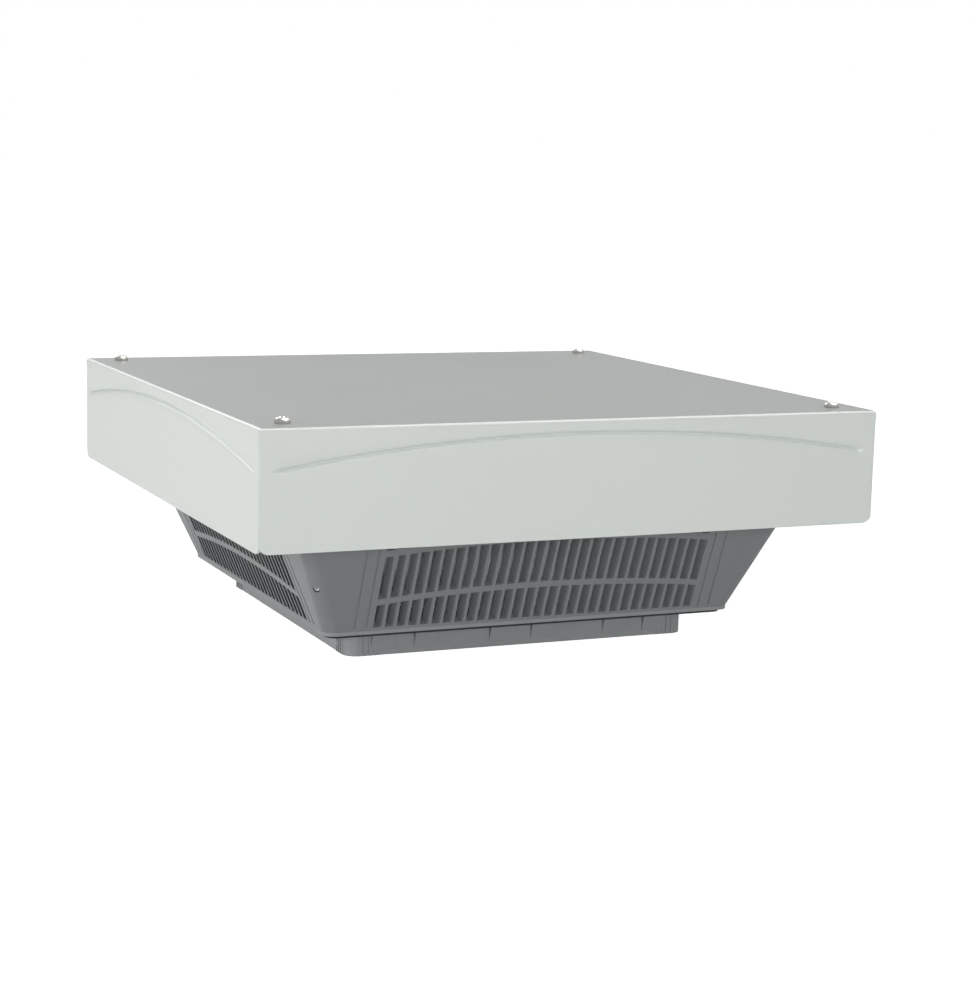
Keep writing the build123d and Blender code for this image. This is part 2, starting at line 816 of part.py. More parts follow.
# Winding: the end turns above and below the core
with BuildPart() as stator_winding:
    for low_z in (core_z - winding_height, core_z + core_height):
        with BuildSketch(Plane.XY.offset(low_z)):
            Circle(winding_radius)
            Circle(bearing_tube_radius + winding_tube_gap, mode=Mode.SUBTRACT)
        extrude(amount=winding_height)
    end_faces = stator_winding.faces().filter_by(Axis.Z).sort_by(Axis.Z)
    rims = end_faces[0].outer_wire().edges() + end_faces[-1].outer_wire().edges()
    chamfer(rims, winding_height / 3)
stator_winding.part.label = "stator_winding"
export_step(stator_winding.part, "parts/stator_winding.step")

# Rotor cup: a drawn cup that turns round the stator, with a rim for the impeller and a hub for the shaft
with BuildPart() as rotor_cup:
    with BuildSketch(Plane.XZ):
        with BuildLine():
            Polyline(
                (shaft_radius, rotor_z),
                (rotor_radius - rotor_bend, rotor_z),
                (rotor_radius, rotor_z + rotor_bend),
                (rotor_radius, rotor_top - rotor_flange_sheet),
                (rotor_flange_radius, rotor_top - rotor_flange_sheet),
                (rotor_flange_radius, rotor_top),
                (rotor_radius - rotor_wall, rotor_top),
                (rotor_radius - rotor_wall, rotor_z + rotor_floor),
                (rotor_hub_radius, rotor_z + rotor_floor),
                (rotor_hub_radius, rotor_z + rotor_floor + rotor_hub_height),
                (shaft_radius, rotor_z + rotor_floor + rotor_hub_height),
                close=True,
            )
        make_face()
    revolve(axis=Axis.Z)
    with BuildSketch(Plane.XY.offset(rotor_top)):
        rivet_circle = (rotor_radius + rotor_flange_radius) / 2
        with PolarLocations(rivet_circle, rivet_count):
            Circle(rivet_radius)
    extrude(amount=-rotor_flange_sheet, mode=Mode.SUBTRACT)
rotor_cup.part.label = "rotor_cup"
export_step(rotor_cup.part, "parts/rotor_cup.step")

# Rotor core: the laminated ring pressed into the cup
with BuildPart() as rotor_core:
    with BuildSketch(Plane.XY.offset(core_z)):
        Circle(rotor_radius - rotor_wall)
        Circle(core_radius + air_gap, mode=Mode.SUBTRACT)
    extrude(amount=core_height)
rotor_core.part.label = "rotor_core"
export_step(rotor_core.part, "parts/rotor_core.step")

# Shaft: pressed into the cup's hub, it runs up through both bearings
with BuildPart() as motor_shaft:
    with BuildSketch(Plane.XY.offset(rotor_z)):
        Circle(shaft_radius)
    extrude(amount=bearing_high_z + bearing_width - rotor_z)
motor_shaft.part.label = "motor_shaft"
export_step(motor_shaft.part, "parts/motor_shaft.step")

# Impeller back plate, riveted under the rotor's rim
back_top = rotor_top - rotor_flange_sheet
back_z = back_top - impeller_sheet
with BuildPart() as impeller_backplate:
    with BuildSketch(Plane.XY.offset(back_z)):
        Circle(impeller_radius)
        Circle(rotor_radius + thread_clearance, mode=Mode.SUBTRACT)
        with PolarLocations(rivet_circle, rivet_count):
            Circle(rivet_radius, mode=Mode.SUBTRACT)
    extrude(amount=impeller_sheet)
impeller_backplate.part.label = "impeller_backplate"
export_step(impeller_backplate.part, "parts/impeller_backplate.step")

# Rivets that join the back plate to the rotor's rim
with BuildPart() as impeller_rivets:
    with BuildSketch(Plane.XY.offset(back_z - rivet_head)):
        with PolarLocations(rivet_circle, rivet_count):
            Circle(rivet_head_radius)
    extrude(amount=rivet_head)
    with BuildSketch(Plane.XY.offset(back_z)):
        with PolarLocations(rivet_circle, rivet_count):
            Circle(rivet_radius)
    extrude(amount=impeller_sheet + rotor_flange_sheet)
    with BuildSketch(Plane.XY.offset(rotor_top)):
        with PolarLocations(rivet_circle, rivet_count):
            Circle(rivet_head_radius)
    extrude(amount=rivet_head)
impeller_rivets.part.label = "impeller_rivets"
export_step(impeller_rivets.part, "parts/impeller_rivets.step")

# Impeller shroud: a turned-out ring whose neck passes over the inlet ring's throat
eye_radius = ring_throat_radius + ring_sheet + eye_gap
shroud_z = tray_top + ring_height - eye_overlap
shroud_top = shroud_z + shroud_neck
shroud_profile = [
    (eye_radius, shroud_z),
    (eye_radius, shroud_top - shroud_bend),
    (eye_radius + shroud_bend * mouth_waist, shroud_top - shroud_bend * mouth_waist),
    (eye_radius + shroud_bend, shroud_top + shroud_rise * mouth_waist),
    (impeller_radius, shroud_top + shroud_rise),
]
with BuildPart() as impeller_shroud:
    with BuildSketch(Plane.XZ):
        with BuildLine():
            Polyline(*shroud_profile)
            offset(amount=impeller_sheet, side=Side.RIGHT, kind=Kind.INTERSECTION)
        make_face()
    revolve(axis=Axis.Z)
impeller_shroud.part.label = "impeller_shroud"
export_step(impeller_shroud.part, "parts/impeller_shroud.step")

# Backward-curved blades, each bowed in plan and trimmed to the shroud's curve
with BuildPart() as impeller_blades:
    tip_radius = impeller_radius - blade_tip_gap
    root = Vector(blade_inner_radius, 0)
    tip = Vector(tip_radius, 0).rotate(Axis.Z, -blade_angle)
    chord = tip - root
    side = Vector(-chord.Y, chord.X).normalized()
    middle = (root + tip) * 0.5
    with BuildSketch(Plane.XY.offset(shroud_z)):
        with BuildLine():
            bow = middle + side * blade_bow
            far_bow = middle + side * (blade_bow + blade_sheet)
            front = ThreePointArc(root, bow, tip)
            back = ThreePointArc(root + side * blade_sheet, far_bow, tip + side * blade_sheet)
            Line(front @ 0, back @ 0)
            Line(front @ 1, back @ 1)
        make_face()
    blade = extrude(amount=back_z - shroud_z, mode=Mode.PRIVATE)
    for step in range(blade_count):
        add(blade.rotate(Axis.Z, step * 360 / blade_count))
    with BuildSketch(Plane.XZ):
        with BuildLine():
            Polyline(
                *shroud_profile,
                (impeller_radius, back_z),
                (rotor_flange_radius, back_z),
                (rotor_flange_radius, shroud_z),
                close=True,
            )
        make_face()
    revolve(axis=Axis.Z, mode=Mode.INTERSECT)
impeller_blades.part.label = "impeller_blades"
export_step(impeller_blades.part, "parts/impeller_blades.step")

# Motor lead: out of the flange's boss, over the impeller's edge and down through the tray
lead_drop_radius = terminal_place * sqrt(2)
lead_plane = Plane(origin=(0, 0, 0), x_dir=(1, 1, 0), z_dir=(1, -1, 0))
with BuildPart() as motor_lead:
    with BuildLine(lead_plane) as route:
        FilletPolyline(
            (lead_start, lead_z),
            (lead_drop_radius, lead_z),
            (lead_drop_radius, tray_z),
            radius=lead_bend,
        )
    with BuildSketch(Plane(origin=route.line @ 0, z_dir=route.line % 0)):
        Circle(lead_radius)
    sweep(path=route.line)
motor_lead.part.label = "motor_lead"
export_step(motor_lead.part, "parts/motor_lead.step")
lead_length = sum(edge.length for edge in route.edges())
print("lead length", round(lead_length, 1), "bend radius", lead_bend)

# Grommet: seals the lead's hole in the tray
with BuildPart() as lead_grommet:
    with BuildSketch(Plane.XY.offset(tray_top)):
        with Locations((terminal_place, terminal_place)):
            Circle(grommet_flange_radius)
            Circle(lead_radius + thread_clearance, mode=Mode.SUBTRACT)
    extrude(amount=grommet_flange)
    with BuildSketch(Plane.XY.offset(tray_z)):
        with Locations((terminal_place, terminal_place)):
            Circle(grommet_hole_radius - thread_clearance)
            Circle(lead_radius + thread_clearance, mode=Mode.SUBTRACT)
    extrude(amount=tray_plate)
lead_grommet.part.label = "lead_grommet"
export_step(lead_grommet.part, "parts/lead_grommet.step")

# Terminal block: under the tray in one corner of the collar, where the supply is wired
with BuildPart() as terminal_block:
    with BuildSketch(Plane.XY.offset(tray_z)):
        with Locations((terminal_place, terminal_place)):
            Rectangle(terminal_length, terminal_width)
    extrude(amount=-terminal_height)
    with BuildSketch(Plane.XY.offset(tray_z - terminal_height)):
        with Locations((terminal_place, terminal_place)):
            with GridLocations(terminal_pitch, 0, 3, 1):
                Circle(terminal_well_radius)
    extrude(amount=terminal_well_depth, mode=Mode.SUBTRACT)
terminal_block.part.label = "terminal_block"
export_step(terminal_block.part, "parts/terminal_block.step")

# Motor capacitor: a round can under the motor plate
capacitor_z = plate_z - capacitor_radius - capacitor_gap
with BuildPart() as capacitor:
    with BuildSketch(Plane.YZ.offset(capacitor_x)):
        with Locations((capacitor_y, capacitor_z)):
            Circle(capacitor_radius)
    extrude(amount=capacitor_length / 2, both=True)
    chamfer(capacitor.faces().filter_by(Axis.X).edges(), capacitor_edge)
capacitor.part.label = "capacitor"
export_step(capacitor.part, "parts/capacitor.step")

# Capacitor clip: a strap with two ears under the plate
with BuildPart() as capacitor_clip:
    strap_radius = capacitor_radius + thread_clearance
    with BuildSketch(Plane.YZ.offset(capacitor_x)):
        with Locations((capacitor_y, capacitor_z)):
            Circle(strap_radius + clip_sheet)
        with Locations((capacitor_y, (capacitor_z + plate_z) / 2)):
            Rectangle(2 * (strap_radius + clip_sheet), plate_z - capacitor_z)
        with Locations((capacitor_y, plate_z - clip_sheet / 2)):
            Rectangle(2 * (strap_radius + clip_sheet + clip_ear), clip_sheet)
        with Locations((capacitor_y, capacitor_z)):
            Circle(strap_radius, mode=Mode.SUBTRACT)
        with Locations((capacitor_y, (capacitor_z + plate_z) / 2)):
            Rectangle(2 * strap_radius, plate_z - capacitor_z, mode=Mode.SUBTRACT)
        with Locations((capacitor_y, plate_z + strap_radius)):
            Rectangle(4 * strap_radius, 2 * strap_radius, mode=Mode.SUBTRACT)
    extrude(amount=clip_width / 2, both=True)
    with BuildSketch(Plane.XY.offset(plate_z)):
        with Locations((capacitor_x, capacitor_y)):
            with GridLocations(0, 2 * ear_y, 1, 2):
                Circle(small_screw_radius + hole_clearance)
    extrude(amount=-clip_sheet, mode=Mode.SUBTRACT)
capacitor_clip.part.label = "capacitor_clip"
export_step(capacitor_clip.part, "parts/capacitor_clip.step")

# Screws through the clip's ears into the plate
with BuildPart() as clip_screws:
    for y in (capacitor_y - ear_y, capacitor_y + ear_y):
        with BuildSketch(Plane.XY.offset(plate_z - clip_sheet)):
            with Locations((capacitor_x, y)):
                Circle(small_screw_head_radius)
        extrude(amount=-small_screw_head)
        with BuildSketch(Plane.XY.offset(plate_z - clip_sheet)):
            with Locations((capacitor_x, y)):
                Circle(small_screw_radius)
        extrude(amount=clip_sheet + plate_sheet)
clip_screws.part.label = "clip_screws"
export_step(clip_screws.part, "parts/clip_screws.step")
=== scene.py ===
# %% [markdown]
# # A roof fan for a cabinet, dressed around its frame
#
# The fan's exact solids come from a CAD file. Here they get their looks. First the frame is loaded,
# and its box is kept, so that at the end we can see that no piece has grown past it.

# %% Load the frame
import json
from math import pi, radians, sqrt

import bmesh
import bpy
import numpy as np
from mathutils import Matrix, Vector


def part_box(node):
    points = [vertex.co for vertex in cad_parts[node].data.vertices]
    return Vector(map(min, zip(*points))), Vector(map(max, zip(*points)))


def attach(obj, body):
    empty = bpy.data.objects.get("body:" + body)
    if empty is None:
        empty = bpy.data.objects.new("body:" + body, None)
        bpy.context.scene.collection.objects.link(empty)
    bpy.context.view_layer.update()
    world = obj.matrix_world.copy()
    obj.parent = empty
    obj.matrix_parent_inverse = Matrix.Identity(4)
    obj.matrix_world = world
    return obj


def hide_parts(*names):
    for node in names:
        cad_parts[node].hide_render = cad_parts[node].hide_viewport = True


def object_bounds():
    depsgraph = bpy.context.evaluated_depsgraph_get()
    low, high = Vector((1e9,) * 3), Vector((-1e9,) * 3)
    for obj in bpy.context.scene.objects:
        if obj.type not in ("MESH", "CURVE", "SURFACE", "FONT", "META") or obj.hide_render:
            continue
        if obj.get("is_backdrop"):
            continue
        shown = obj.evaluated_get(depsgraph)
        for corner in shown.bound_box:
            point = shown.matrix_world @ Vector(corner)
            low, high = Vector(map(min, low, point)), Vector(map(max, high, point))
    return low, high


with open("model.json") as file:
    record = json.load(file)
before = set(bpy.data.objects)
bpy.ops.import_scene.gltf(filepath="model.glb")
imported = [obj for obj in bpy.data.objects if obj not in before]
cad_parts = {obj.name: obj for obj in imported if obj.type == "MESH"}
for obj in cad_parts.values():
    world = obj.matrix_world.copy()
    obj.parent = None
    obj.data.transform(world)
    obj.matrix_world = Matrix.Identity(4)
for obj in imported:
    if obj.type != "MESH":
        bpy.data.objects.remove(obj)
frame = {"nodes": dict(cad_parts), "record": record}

mm = 0.001
cad_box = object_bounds()
print("nodes:", len(frame["nodes"]), "box in mm:", [round(side / mm, 1) for side in cad_box[1] - cad_box[0]])

# %% [markdown]
# ## The camera
#
# The picture was taken from the front left and a little above, from about 1.4 m. A long lens keeps the
# square cover from looking stretched. The camera's own axes are worked out from three turns: how far it
# looks to the right, how far down, and how far it is tilted.

# %% Set the camera
camera_place = Vector((-0.5352, -1.2606, 0.2915))
look_right = 0.4178
look_down = 0.1599
tilt = 0.0252
lens_mm = 78.2

ahead = np.cos(look_down)
forward = Vector((np.sin(look_right) * ahead, np.cos(look_right) * ahead, -np.sin(look_down)))
level_right = Vector((np.cos(look_right), -np.sin(look_right), 0))
level_up = level_right.cross(forward)
camera_right = level_right * np.cos(tilt) + level_up * np.sin(tilt)
camera_up = camera_right.cross(forward)

camera = bpy.data.objects.new("camera", bpy.data.cameras.new("camera"))
camera.data.lens = lens_mm
camera.data.sensor_width = 36
camera.matrix_world = Matrix(
    (
        (camera_right.x, camera_up.x, -forward.x, camera_place.x),
        (camera_right.y, camera_up.y, -forward.y, camera_place.y),
        (camera_right.z, camera_up.z, -forward.z, camera_place.z),
        (0, 0, 0, 1),
    )
)
bpy.context.collection.objects.link(camera)
bpy.context.scene.camera = camera
print("camera is", round(camera_place.length, 2), "m from the fan's foot")

# %% [markdown]
# ## Light and floor
#
# A product on white needs soft light from all round and large softboxes that tell the faces apart. Here
# the left flange is the lightest, the front a little darker and the top darkest, so the softboxes stand
# low on the left and in front. A weak one fills the far sides, and none of the three has a glare. Two
# more, overhead and behind, show in reflections alone: they draw a thin bright line along each bend.
# The floor and the world look white to the camera and in shiny surfaces alone, through Light Path, so
# the white gives matt surfaces no extra light.


# %% Tell which rays see the backdrop
def backdrop_rays(tree):
    """A mask of 1 for rays that come from the camera, off something shiny or through something clear."""
    path = tree.nodes.new("ShaderNodeLightPath")
    mask = path.outputs["Is Camera Ray"]
    for kind in ("Is Glossy Ray", "Is Transmission Ray"):
        either = tree.nodes.new("ShaderNodeMath")
        either.operation = "MAXIMUM"
        tree.links.new(mask, either.inputs[0])
        tree.links.new(path.outputs[kind], either.inputs[1])
        mask = either.outputs["Value"]
    return mask


# %% Make the world
world = bpy.data.worlds.new("studio")
world.use_nodes = True
bpy.context.scene.world = world
bpy.context.scene.view_settings.view_transform = "Standard"
links = world.node_tree.links
nodes = world.node_tree.nodes
nodes.clear()
room_light = 0.18
room = nodes.new("ShaderNodeBackground")
room.inputs["Color"].default_value = (0.99, 1.0, 1.0, 1)
room.inputs["Strength"].default_value = room_light
white = nodes.new("ShaderNodeBackground")
white.inputs["Color"].default_value = (1, 1, 1, 1)
choice = nodes.new("ShaderNodeMixShader")
output = nodes.new("ShaderNodeOutputWorld")
links.new(backdrop_rays(world.node_tree), choice.inputs["Fac"])
links.new(room.outputs["Background"], choice.inputs[1])
links.new(white.outputs["Background"], choice.inputs[2])
links.new(choice.outputs["Shader"], output.inputs["Surface"])
print("room light", room_light)

# %% Lay the floor
floor_mesh = bpy.data.meshes.new("floor")
reach = 30.0
white_lift = 0.88
corners = [(-reach, -reach, 0), (reach, -reach, 0), (reach, reach, 0), (-reach, reach, 0)]
floor_mesh.from_pydata(corners, [], [(0, 1, 2, 3)])
floor = bpy.data.objects.new("floor", floor_mesh)
bpy.context.collection.objects.link(floor)
floor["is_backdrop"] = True

floor_finish = bpy.data.materials.new("floor_paper")
floor_finish.use_nodes = True
paper = floor_finish.node_tree.nodes["Principled BSDF"]
paper.inputs["Base Color"].default_value = (0.90, 0.90, 0.90, 1)
paper.inputs["Roughness"].default_value = 0.9
paper.inputs["Specular IOR Level"].default_value = 0.0
paper.inputs["Emission Color"].default_value = (1, 1, 1, 1)
lift = floor_finish.node_tree.nodes.new("ShaderNodeMath")
lift.operation = "MULTIPLY"
lift.inputs[1].default_value = white_lift
links = floor_finish.node_tree.links
links.new(backdrop_rays(floor_finish.node_tree), lift.inputs[0])
links.new(lift.outputs["Value"], paper.inputs["Emission Strength"])
floor_mesh.materials.append(floor_finish)
print("floor reaches", reach, "m each way")


# %% Hang the softboxes
def softbox(name, place, aim, size, power, mirrored=False):
    """A square area lamp at place that faces aim. It lights surfaces, or shows in reflections alone."""
    lamp = bpy.data.lights.new(name, "AREA")
    lamp.size = size
    lamp.energy = power
    holder = bpy.data.objects.new(name, lamp)
    holder.location = place
    holder.rotation_euler = (Vector(aim) - Vector(place)).to_track_quat("-Z", "Y").to_euler()
    holder.visible_diffuse = not mirrored
    holder.visible_glossy = mirrored
    bpy.context.collection.objects.link(holder)


middle = (0, 0, 0.08)
softbox("left_softbox", (-2.4, -0.4, 0.30), middle, 1.6, 56)
softbox("front_softbox", (-0.2, -2.4, 0.12), middle, 1.3, 51)
softbox("far_fill", (2.0, 2.0, 0.4), middle, 1.6, 14)
softbox("overhead_edge_light", (0.7, -0.5, 1.8), middle, 1.8, 150, mirrored=True)
softbox("rear_edge_light", (-0.5, 2.0, 1.3), middle, 1.0, 26, mirrored=True)

# %% [markdown]
# ## Effects that several finishes share
#
# Paint, plastic and sheet metal all have small bumps, slow drifts of tone and a little dust on what
# faces up. Each of these is a shader node group with named sockets. It is built once here, and every
# finish then sets its own values. The groups give out colours, roughness and normals only. The shader
# itself stays in each material.


# %% A helper that starts a group
def effect_group(title, takes, gives):
    """An empty shader node group. takes lists (name, kind, value) and gives lists (name, kind)."""
    group = bpy.data.node_groups.new(title, "ShaderNodeTree")
    for name, kind, value in takes:
        socket = group.interface.new_socket(name=name, in_out="INPUT", socket_type="NodeSocket" + kind)
        socket.default_value = value
    for name, kind in gives:
        group.interface.new_socket(name=name, in_out="OUTPUT", socket_type="NodeSocket" + kind)
    return group, group.nodes.new("NodeGroupInput"), group.nodes.new("NodeGroupOutput")


def math_node(group, operation, first, second, clamp=False):
    """A Math node whose two values are sockets or plain numbers."""
    node = group.nodes.new("ShaderNodeMath")
    node.operation = operation
    node.use_clamp = clamp
    for socket, value in zip(node.inputs, (first, second)):
        if isinstance(value, (int, float)):
            socket.default_value = value
        else:
            group.links.new(value, socket)
    return node.outputs["Value"]


def noise_node(group, place, scale, detail):
    """Noise between 0 and 1 at the object's own coordinates."""
    node = group.nodes.new("ShaderNodeTexNoise")
    group.links.new(place, node.inputs["Vector"])
    if isinstance(scale, (int, float)):
        node.inputs["Scale"].default_value = scale
    else:
        group.links.new(scale, node.inputs["Scale"])
    node.inputs["Detail"].default_value = detail
    return node.outputs["Fac"]


def tinted(group, colour, amount, value):
    """The colour made lighter or darker: colour times (1 + amount * (value - 0.5) * 2)."""
    swing = math_node(group, "MULTIPLY_ADD", value, 2.0)
    swing.node.inputs[2].default_value = -1.0
    gain = math_node(group, "MULTIPLY", swing, amount)
    gain = math_node(group, "ADD", gain, 1.0)
    scale = group.nodes.new("ShaderNodeVectorMath")
    scale.operation = "SCALE"
    group.links.new(colour, scale.inputs[0])
    group.links.new(gain, scale.inputs["Scale"])
    return scale.outputs["Vector"]


# %% Skin: fine bumps with a slow drift of tone
skin, skin_in, skin_out = effect_group(
    "skin_bumps",
    [
        ("Color", "Color", (0.5, 0.5, 0.5, 1)),
        ("Roughness", "Float", 0.5),
        ("Bump size", "Float", 900.0),
        ("Bump depth", "Float", 0.1),
        ("Drift", "Float", 0.02),
        ("Speckle", "Float", 0.0),
    ],
    [("Color", "Color"), ("Roughness", "Float"), ("Normal", "Vector")],
)
skin_place = skin.nodes.new("ShaderNodeTexCoord").outputs["Object"]
fine = noise_node(skin, skin_place, scale=skin_in.outputs["Bump size"], detail=2.0)
slow = noise_node(skin, skin_place, scale=9.0, detail=3.0)
speck = noise_node(skin, skin_place, scale=2600.0, detail=0.0)
drifted = tinted(skin, skin_in.outputs["Color"], skin_in.outputs["Drift"], slow)
speckled = tinted(skin, drifted, skin_in.outputs["Speckle"], speck)
skin.links.new(speckled, skin_out.inputs["Color"])
gloss_swing = 0.06
patchy = math_node(skin, "MULTIPLY_ADD", slow, 2 * gloss_swing)
patchy.node.inputs[2].default_value = -gloss_swing
patched = math_node(skin, "ADD", patchy, skin_in.outputs["Roughness"], clamp=True)
skin.links.new(patched, skin_out.inputs["Roughness"])
relief = skin.nodes.new("ShaderNodeBump")
relief.inputs["Distance"].default_value = 0.0002
skin.links.new(skin_in.outputs["Bump depth"], relief.inputs["Strength"])
skin.links.new(fine, relief.inputs["Height"])
skin.links.new(relief.outputs["Normal"], skin_out.inputs["Normal"])
print("group", skin.name, "nodes", len(skin.nodes))

# %% Spangle: the crystals of a zinc coat
spangle, spangle_in, spangle_out = effect_group(
    "zinc_spangle",
    [
        ("Color", "Color", (0.6, 0.6, 0.6, 1)),
        ("Roughness", "Float", 0.4),
        ("Crystals a metre", "Float", 160.0),
        ("Contrast", "Float", 0.12),
        ("Scratches", "Float", 0.1),
    ],
    [("Color", "Color"), ("Roughness", "Float"), ("Normal", "Vector")],
)
spangle_place = spangle.nodes.new("ShaderNodeTexCoord").outputs["Object"]
crystal = spangle.nodes.new("ShaderNodeTexVoronoi")
spangle.links.new(spangle_place, crystal.inputs["Vector"])
spangle.links.new(spangle_in.outputs["Crystals a metre"], crystal.inputs["Scale"])
tone = spangle.nodes.new("ShaderNodeSeparateColor")
spangle.links.new(crystal.outputs["Color"], tone.inputs["Color"])
contrast = spangle_in.outputs["Contrast"]
crystal_tint = tinted(spangle, spangle_in.outputs["Color"], contrast, tone.outputs["Red"])
spangle.links.new(crystal_tint, spangle_out.inputs["Color"])
facet = math_node(spangle, "MULTIPLY", tone.outputs["Green"], spangle_in.outputs["Contrast"])
faceted = math_node(spangle, "ADD", facet, spangle_in.outputs["Roughness"])
spangle.links.new(faceted, spangle_out.inputs["Roughness"])
rolled = noise_node(spangle, spangle_place, scale=1200.0, detail=3.0)
rolling = spangle.nodes.new("ShaderNodeBump")
rolling.inputs["Distance"].default_value = 0.0001
spangle.links.new(spangle_in.outputs["Scratches"], rolling.inputs["Strength"])
spangle.links.new(rolled, rolling.inputs["Height"])
spangle.links.new(rolling.outputs["Normal"], spangle_out.inputs["Normal"])
print("group", spangle.name, "nodes", len(spangle.nodes))

# %% Bands: turning marks, stacked sheets or turns of wire
bands, bands_in, bands_out = effect_group(
    "fine_bands",
    [
        ("Color", "Color", (0.5, 0.5, 0.5, 1)),
        ("Direction", "Vector", (0, 0, 1)),
        ("Pitch", "Float", 0.0005),
        ("Depth", "Float", 0.3),
        ("Shade", "Float", 0.2),
        ("Waver", "Float", 0.0),
    ],
    [("Color", "Color"), ("Normal", "Vector")],
)
bands_place = bands.nodes.new("ShaderNodeTexCoord").outputs["Object"]
along = bands.nodes.new("ShaderNodeVectorMath")
along.operation = "DOT_PRODUCT"
bands.links.new(bands_place, along.inputs[0])
bands.links.new(bands_in.outputs["Direction"], along.inputs[1])
count = math_node(bands, "DIVIDE", along.outputs["Value"], bands_in.outputs["Pitch"])
uneven = noise_node(bands, bands_place, scale=120.0, detail=1.0)
sway = math_node(bands, "MULTIPLY", uneven, bands_in.outputs["Waver"])
wave = math_node(bands, "PINGPONG", math_node(bands, "ADD", count, sway), 0.5)
crest = math_node(bands, "MULTIPLY", wave, 2.0)
banded = tinted(bands, bands_in.outputs["Color"], bands_in.outputs["Shade"], crest)
bands.links.new(banded, bands_out.inputs["Color"])
ridge = bands.nodes.new("ShaderNodeBump")
ridge.inputs["Distance"].default_value = 0.0002
bands.links.new(bands_in.outputs["Depth"], ridge.inputs["Strength"])
bands.links.new(crest, ridge.inputs["Height"])
bands.links.new(ridge.outputs["Normal"], bands_out.inputs["Normal"])
print("group", bands.name, "nodes", len(bands.nodes))

# %% Dust: a pale bloom on what faces up
dust, dust_in, dust_out = effect_group(
    "settled_dust",
    [
        ("Color", "Color", (0.5, 0.5, 0.5, 1)),
        ("Roughness", "Float", 0.5),
        ("Amount", "Float", 0.1),
        ("Dust", "Color", (0.36, 0.35, 0.33, 1)),
    ],
    [("Color", "Color"), ("Roughness", "Float")],
)
facing = dust.nodes.new("ShaderNodeSeparateXYZ")
dust.links.new(dust.nodes.new("ShaderNodeNewGeometry").outputs["Normal"], facing.inputs["Vector"])
dust_place = dust.nodes.new("ShaderNodeTexCoord").outputs["Object"]
cloud = noise_node(dust, dust_place, scale=45.0, detail=4.0)
upward = math_node(dust, "MULTIPLY", facing.outputs["Z"], cloud, clamp=True)
bloom = math_node(dust, "MULTIPLY", upward, dust_in.outputs["Amount"], clamp=True)
blend = dust.nodes.new("ShaderNodeMix")
blend.data_type = "RGBA"
dust.links.new(bloom, blend.inputs["Factor"])
dust.links.new(dust_in.outputs["Color"], blend.inputs[6])
dust.links.new(dust_in.outputs["Dust"], blend.inputs[7])
dust.links.new(blend.outputs[2], dust_out.inputs["Color"])
dust_roughness = 0.5
rougher = math_node(dust, "MULTIPLY", bloom, dust_roughness)
roughened = math_node(dust, "ADD", rougher, dust_in.outputs["Roughness"], clamp=True)
dust.links.new(roughened, dust_out.inputs["Roughness"])
print("group", dust.name, "nodes", len(dust.nodes))

# %% [markdown]
# ## Finishes
#
# A finish is a material with a Principled shader of its own. What is the same all over, such as how
# metallic it is or its coat, is set on the shader's sockets. What changes over the surface comes out of
# the effect groups.


# %% Helpers for the finishes
def screen_colour(red, green, blue):
    """Screen values from 0 to 255 turned into the linear colour that a shader works in."""
    share = np.array((red, green, blue)) / 255
    linear = np.where(share < 0.04045, share / 12.92, ((share + 0.055) / 1.055) ** 2.4)
    return (*linear.tolist(), 1.0)


def new_finish(name, **sockets):
    """A material with a Principled shader whose even values are set by socket name."""
    material = bpy.data.materials.new(name)
    material.use_nodes = True
    shader = material.node_tree.nodes["Principled BSDF"]
    for socket, value in sockets.items():
        shader.inputs[socket.replace("_", " ")].default_value = value
    return material


def add_effect(material, group, source=None, **values):
    """Places a group in a material. It takes source's outputs of the same names, or plain values."""
    tree = material.node_tree
    node = tree.nodes.new("ShaderNodeGroup")
    node.node_tree = group
    for name, value in values.items():
        node.inputs[name.replace("_", " ")].default_value = value
    if source:
        for output in source.outputs:
            if output.name in node.inputs:
                tree.links.new(output, node.inputs[output.name])
    return node


def feed_shader(material, *effects):
    """Leads Color, Roughness and Normal of the effects into the shader; a later effect wins."""
    tree = material.node_tree
    shader = tree.nodes["Principled BSDF"]
    for effect in effects:
        for output, socket in (("Color", "Base Color"), ("Roughness", "Roughness"), ("Normal", "Normal")):
            if output in effect.outputs:
                tree.links.new(effect.outputs[output], shader.inputs[socket])
    return material


finishes = {}

# %% [markdown]
# ### The cover's powder coat
#
# Powder is sprayed on dry and melts in an oven. It levels almost flat, but keeps a faint orange peel
# about a millimetre across, and a satin gloss. A fine bump and a slow drift of tone are enough: any
# more would look like stone.


# %% Coat the cover
def powder_coat(name, colour, roughness, peel):
    """Satin powder coat: faint peel, slow drift and a trace of dust."""
    material = new_finish(name, Specular_IOR_Level=0.2, Coat_Weight=0.16, Coat_Roughness=0.2)
    peeled = add_effect(
        material,
        skin,
        Color=colour,
        Roughness=roughness,
        Bump_size=700.0,
        Bump_depth=peel,
        Drift=0.012,
        Speckle=0.008,
    )
    dusted = add_effect(material, dust, peeled, Amount=0.05)
    return feed_shader(material, peeled, dusted)


finishes["cover_paint"] = powder_coat("cover_paint", screen_colour(203, 208, 204), 0.45, 0.10)
finishes["rotor_paint"] = powder_coat("rotor_paint", screen_colour(44, 44, 46), 0.38, 0.14)
print("painted:", sorted(finishes))

# %% [markdown]
# ### Moulded plastics
#
# The housing is a grey moulding with a fine spark-eroded grain, which takes the shine off and gives
# each face an even tone. The tray is the same plastic, a shade lighter. The capacitor's can and the
# terminal block are smoother.


